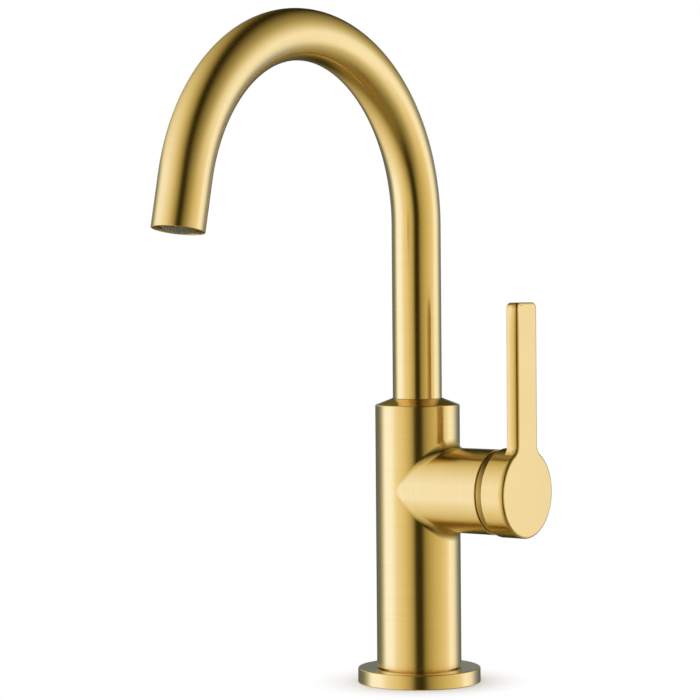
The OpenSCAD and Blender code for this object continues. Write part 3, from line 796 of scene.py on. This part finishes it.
def add_camera():
    """The photograph's view: a little turned, tipped and shifted off the tap's axis."""
    cam = bpy.data.cameras.new("camera")
    cam.lens = VIEW_LENS
    cam.sensor_width = SENSOR
    cam.sensor_fit = "HORIZONTAL"
    cam.clip_start = 0.01
    cam.clip_end = 100
    obj = bpy.data.objects.new("camera", cam)
    bpy.context.scene.collection.objects.link(obj)
    up = Vector((0, 0, 1))
    forward = -TOWARDS_CAMERA
    ahead = forward * math.cos(VIEW_PITCH) - up * math.sin(VIEW_PITCH)
    lift = up * math.cos(VIEW_PITCH) + forward * math.sin(VIEW_PITCH)
    right = CAMERA_RIGHT * math.cos(VIEW_ROLL) + lift * math.sin(VIEW_ROLL)
    top = lift * math.cos(VIEW_ROLL) - CAMERA_RIGHT * math.sin(VIEW_ROLL)
    place = TOWARDS_CAMERA * VIEW_DISTANCE + CAMERA_RIGHT * VIEW_SIDE + up * VIEW_HEIGHT
    turn = Matrix((right, top, -ahead)).transposed().to_4x4()
    obj.matrix_world = Matrix.Translation(place) @ turn
    bpy.context.scene.camera = obj


def seen_directly(tree):
    """1 for rays that come from the camera, a reflection or a see-through surface."""
    path = tree.nodes.new("ShaderNodeLightPath")
    total = path.outputs["Is Camera Ray"]
    for name in ("Is Glossy Ray", "Is Transmission Ray"):
        total = link_math(tree, "MAXIMUM", total, path.outputs[name])
    return total


def add_world():
    """White wherever it is seen or mirrored, and plain white light on the part."""
    world = bpy.data.worlds.new("studio")
    bpy.context.scene.world = world
    world.use_nodes = True
    tree = world.node_tree
    tree.nodes.clear()
    out = tree.nodes.new("ShaderNodeOutputWorld")
    white = tree.nodes.new("ShaderNodeBackground")
    white.inputs["Color"].default_value = (1, 1, 1, 1)
    soft = tree.nodes.new("ShaderNodeBackground")
    soft.inputs["Color"].default_value = (1, 1, 1, 1)
    soft.inputs["Strength"].default_value = 1.0
    mix = tree.nodes.new("ShaderNodeMixShader")
    tree.links.new(seen_directly(tree), mix.inputs[0])
    tree.links.new(soft.outputs[0], mix.inputs[1])
    tree.links.new(white.outputs[0], mix.inputs[2])
    tree.links.new(mix.outputs[0], out.inputs["Surface"])


# Around the tap the floor turns from its shaded colour to plain white between these distances
FLOOR_FADE = (0.03, 0.058)


def add_floor():
    """White floor that keeps the tap's shadow and turns into the background away from it."""
    bm = bmesh.new()
    bmesh.ops.create_circle(bm, cap_ends=True, segments=64, radius=4.0)
    mesh = bpy.data.meshes.new("floor")
    bm.to_mesh(mesh)
    bm.free()
    mat, tree, shader = node_material("floor")
    shader.inputs["Base Color"].default_value = (0.995, 0.995, 0.99, 1)
    shader.inputs["Roughness"].default_value = 1.0
    shader.inputs["Specular IOR Level"].default_value = 0.0
    glow = tree.nodes.new("ShaderNodeEmission")
    coords = tree.nodes.new("ShaderNodeTexCoord")
    distance = tree.nodes.new("ShaderNodeVectorMath")
    distance.operation = "LENGTH"
    tree.links.new(coords.outputs["Object"], distance.inputs[0])
    fade = link_range(tree, distance.outputs["Value"], 0, 1, *FLOOR_FADE, smooth=True)
    mix = tree.nodes.new("ShaderNodeMixShader")
    tree.links.new(link_math(tree, "MULTIPLY", fade, seen_directly(tree)), mix.inputs[0])
    tree.links.new(shader.outputs[0], mix.inputs[1])
    tree.links.new(glow.outputs[0], mix.inputs[2])
    tree.links.new(mix.outputs[0], tree.nodes["Material Output"].inputs["Surface"])
    obj = stand("floor", mesh, mat)
    obj.visible_glossy = False


# The light that the metal mirrors at eye level, by the angle around the tap from the camera's
# direction: negative to the left, 180 behind the tap. Flags are dark, walls gold, panels white.
FLAG = (0.03, 0.025, 0.006)
DIM_WALL = (0.20, 0.22, 0.20)
DARK_WALL = (0.09, 0.09, 0.06)
GREY_WALL = (0.15, 0.17, 0.18)
DEEP_GOLD = (0.48, 0.42, 0.20)
WALL_GOLD = (0.70, 0.62, 0.34)
PALE_GOLD = (0.88, 0.80, 0.54)
CREAM = (0.98, 0.95, 0.84)
WHITE_PANEL = (1.18, 1.33, 1.80)
RIGHT_PANEL = (1.18, 1.30, 1.62)
WARM_PANEL = (1.13, 1.17, 1.26)
LEVEL_STOPS = [
    (-180, DARK_WALL), (-148, GREY_WALL), (-130, DIM_WALL), (-117, (0.50, 0.55, 0.55)),
    (-103, WHITE_PANEL), (-80, WHITE_PANEL), (-62, CREAM), (-42, PALE_GOLD), (-28, WALL_GOLD),
    (-17, DEEP_GOLD), (-8, FLAG), (8, FLAG), (18, (0.36, 0.31, 0.13)), (30, (0.55, 0.47, 0.21)),
    (45, WALL_GOLD), (70, PALE_GOLD), (84, CREAM), (95, RIGHT_PANEL), (104, WARM_PANEL),
    (112, (1.08, 1.12, 1.20)), (121, (0.62, 0.71, 0.87)), (134, (0.28, 0.33, 0.42)),
    (150, GREY_WALL), (180, DARK_WALL),
]
# Behind the tap, a paler wall stands above the horizon
BACK_WALL = (0.26, 0.32, 0.34)
BACK_LEAN = (-0.7, -0.9)
BACK_RISE = (-0.06, 0.1)
# Well above or below that, the panels run over the tap as arches: the light follows how far
# the direction leans to the camera's left (negative) or right
ARCH_STOPS = [
    (-1.0, (1.15, 1.27, 1.65)), (-0.86, (1.02, 1.05, 1.10)), (-0.66, (0.86, 0.81, 0.62)),
    (-0.44, (0.58, 0.52, 0.30)), (-0.27, (0.36, 0.31, 0.15)), (-0.13, (0.12, 0.10, 0.03)),
    (-0.02, FLAG), (0.12, FLAG), (0.24, (0.10, 0.08, 0.03)), (0.42, (0.24, 0.21, 0.10)),
    (0.64, (0.42, 0.38, 0.21)), (0.80, (0.66, 0.62, 0.44)), (0.91, (0.92, 0.92, 0.88)),
    (1.0, (1.15, 1.28, 1.65)),
]
# Straight below, nothing is darker than this
UNDER = (0.24, 0.19, 0.06)
UNDER_RISE = (-0.6, -0.85)
# Rises at which the arches take over from the level light, above and below
ARCH_ABOVE = (0.12, 0.32)
ARCH_BELOW = (-0.2, -0.5)


def link_ramp(tree, value, stops):
    """Looks a value up among stops. The ramp holds halves, because it can't hold more than 1."""
    low, high = stops[0][0], stops[-1][0]
    ramp = tree.nodes.new("ShaderNodeValToRGB")
    elements = ramp.color_ramp.elements
    elements.remove(elements[-1])
    elements[0].color = (*(c / 2 for c in stops[0][1]), 1)
    for place, colour in stops[1:]:
        element = elements.new((place - low) / (high - low))
        element.color = (*(c / 2 for c in colour), 1)
    tree.links.new(link_range(tree, value, 0, 1, low, high), ramp.inputs["Fac"])
    return ramp.outputs["Color"]


def link_dot(tree, vector, axis):
    node = tree.nodes.new("ShaderNodeVectorMath")
    node.operation = "DOT_PRODUCT"
    node.inputs[1].default_value = axis
    tree.links.new(vector, node.inputs[0])
    return node.outputs["Value"]


def add_reflected_room():
    """A wide shell with soft side panels and dark flags, which only reflections see."""
    bm = bmesh.new()
    bmesh.ops.create_uvsphere(bm, u_segments=64, v_segments=32, radius=6.0)
    mesh = bpy.data.meshes.new("room")
    bm.to_mesh(mesh)
    bm.free()
    mat = bpy.data.materials.new("room")
    mat.use_nodes = True
    mat.cycles.emission_sampling = "NONE"
    tree = mat.node_tree
    tree.nodes.clear()
    coords = tree.nodes.new("ShaderNodeTexCoord")
    way = tree.nodes.new("ShaderNodeVectorMath")
    way.operation = "NORMALIZE"
    tree.links.new(coords.outputs["Object"], way.inputs[0])
    across = link_dot(tree, way.outputs[0], CAMERA_RIGHT)
    towards = link_dot(tree, way.outputs[0], TOWARDS_CAMERA)
    rise = link_dot(tree, way.outputs[0], (0, 0, 1))
    angle = link_math(tree, "MULTIPLY", link_math(tree, "ARCTAN2", across, towards), 180 / math.pi)
    arch = link_ramp(tree, across, ARCH_STOPS)
    below = link_mix(tree, 1.0, arch, tuple(c / 2 for c in UNDER), "LIGHTEN")
    glow = tree.nodes.new("ShaderNodeEmission")
    glow.inputs["Strength"].default_value = 2.0
    back = link_math(tree, "MULTIPLY", link_range(tree, towards, 0, 1, *BACK_LEAN, smooth=True),
                     link_range(tree, rise, 0, 1, *BACK_RISE, smooth=True))
    level = link_ramp(tree, angle, LEVEL_STOPS)
    colour = link_mix(tree, back, level, tuple(c / 2 for c in BACK_WALL))
    for rises, light in ((ARCH_ABOVE, arch), (ARCH_BELOW, arch), (UNDER_RISE, below)):
        colour = link_mix(tree, link_range(tree, rise, 0, 1, *rises, smooth=True), colour, light)
    tree.links.new(colour, glow.inputs["Color"])
    out = tree.nodes.new("ShaderNodeOutputMaterial")
    tree.links.new(glow.outputs[0], out.inputs["Surface"])
    obj = stand("room", mesh, mat)
    obj.location = (0, 0, 0.15)
    obj.visible_camera = False
    obj.visible_diffuse = False
    obj.visible_shadow = False


# ---- Putting it together ----

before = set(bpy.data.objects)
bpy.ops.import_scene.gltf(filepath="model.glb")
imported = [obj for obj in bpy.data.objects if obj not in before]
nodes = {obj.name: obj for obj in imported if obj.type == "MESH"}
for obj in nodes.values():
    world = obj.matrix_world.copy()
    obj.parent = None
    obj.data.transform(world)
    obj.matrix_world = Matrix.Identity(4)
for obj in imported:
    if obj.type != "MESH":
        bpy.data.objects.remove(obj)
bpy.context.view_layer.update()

gold = brushed_gold("brushed_gold")
gold_satin = brushed_gold("satin_gold", rough=0.3, streak=0.6)
# The aerator ring's gold is darkened as painted shade, standing in for the shade inside the tube's
# mouth
gold_painted_shade = brushed_gold("ring_gold_painted_shade", rough=0.3, streak=0.6,
                         colours=((0.52, 0.36, 0.14), (0.46, 0.31, 0.12)))
gold_warm = brushed_gold("lever_gold", colours=((0.86, 0.635, 0.275), (0.83, 0.60, 0.25)))
brass = turned_metal("machined_brass", (0.80, 0.62, 0.33), (0.70, 0.52, 0.25), 0.32, (60, 60, 5000))
plug_gold = turned_metal("plug_gold", GOLD, GOLD_WORN, 0.30, (900, 900, 900))
steel = turned_metal("plain_steel", (0.66, 0.66, 0.65), (0.55, 0.55, 0.55), 0.30, (900, 900, 900))
screen_steel = turned_metal("screen_steel", (0.33, 0.34, 0.28), (0.25, 0.26, 0.21), 0.35,
                            (2000, 2000, 2000))
rubber = moulded("rubber", (0.030, 0.030, 0.031), (0.018, 0.018, 0.019), 0.62, 2500)
white_plastic = moulded("white_plastic", (0.82, 0.82, 0.79), (0.76, 0.76, 0.72), 0.38, 3000)
dark_plastic = moulded("dark_plastic", (0.035, 0.034, 0.036), (0.022, 0.022, 0.023), 0.42, 3000)
blue_plastic = moulded("blue_plastic", (0.06, 0.14, 0.32), (0.045, 0.11, 0.26), 0.36, 3000)
ceramic = moulded("ceramic", (0.74, 0.72, 0.66), (0.68, 0.66, 0.60), 0.16, 5000, 0.05)

PIECES = [
    (body_piece, gold, "body", "body", "brushed_gold"),
    (spout_piece, gold, "spout", "spout_tube", "brushed_gold"),
    (flange_piece, gold, "body", "base_flange", "brushed_gold"),
    (lever_piece, gold_warm, "lever", "handle", "brushed_gold"),
    (bonnet_piece, gold_satin, "body", "bonnet_ring", "shaded_gold"),
    # The aerator ring takes the darkened gold: painted shade inside the tube's mouth
    (tip_ring_piece, gold_painted_shade, "spout", "aerator_housing", "shaded_gold"),
    (screen_piece, screen_steel, "spout", "aerator_screen", "screen_steel"),
]
for build, material, body, node, slot in PIECES:
    piece = build(material)
    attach(piece, body)
    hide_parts(node)

PLAIN_FINISH = {
    brass: ["mounting_shank", "mounting_nut", "spout_foot", "outlet_bush", "cartridge_nut", "stem"],
    steel: ["steel_washer", "jack_screws", "spout_retaining_screw", "pivot_pin", "handle_set_screw"],
    rubber: ["base_gasket", "rubber_washer", "spout_o_rings", "bonnet_seal", "aerator_seal",
             "cartridge_seals"],
    white_plastic: ["thrust_washer", "aerator_core", "cartridge_base", "cartridge_rotor"],
    dark_plastic: ["glide_ring", "disc_carrier"],
    blue_plastic: ["cartridge_housing"],
    ceramic: ["fixed_disc", "moving_disc"],
    plug_gold: ["set_screw_plug"],
}
for material, names in PLAIN_FINISH.items():
    for name in names:
        nodes[name].material_slots[0].material = material

add_camera()
add_world()
add_floor()
add_reflected_room()

view = bpy.context.scene.view_settings
view.view_transform = "Standard"
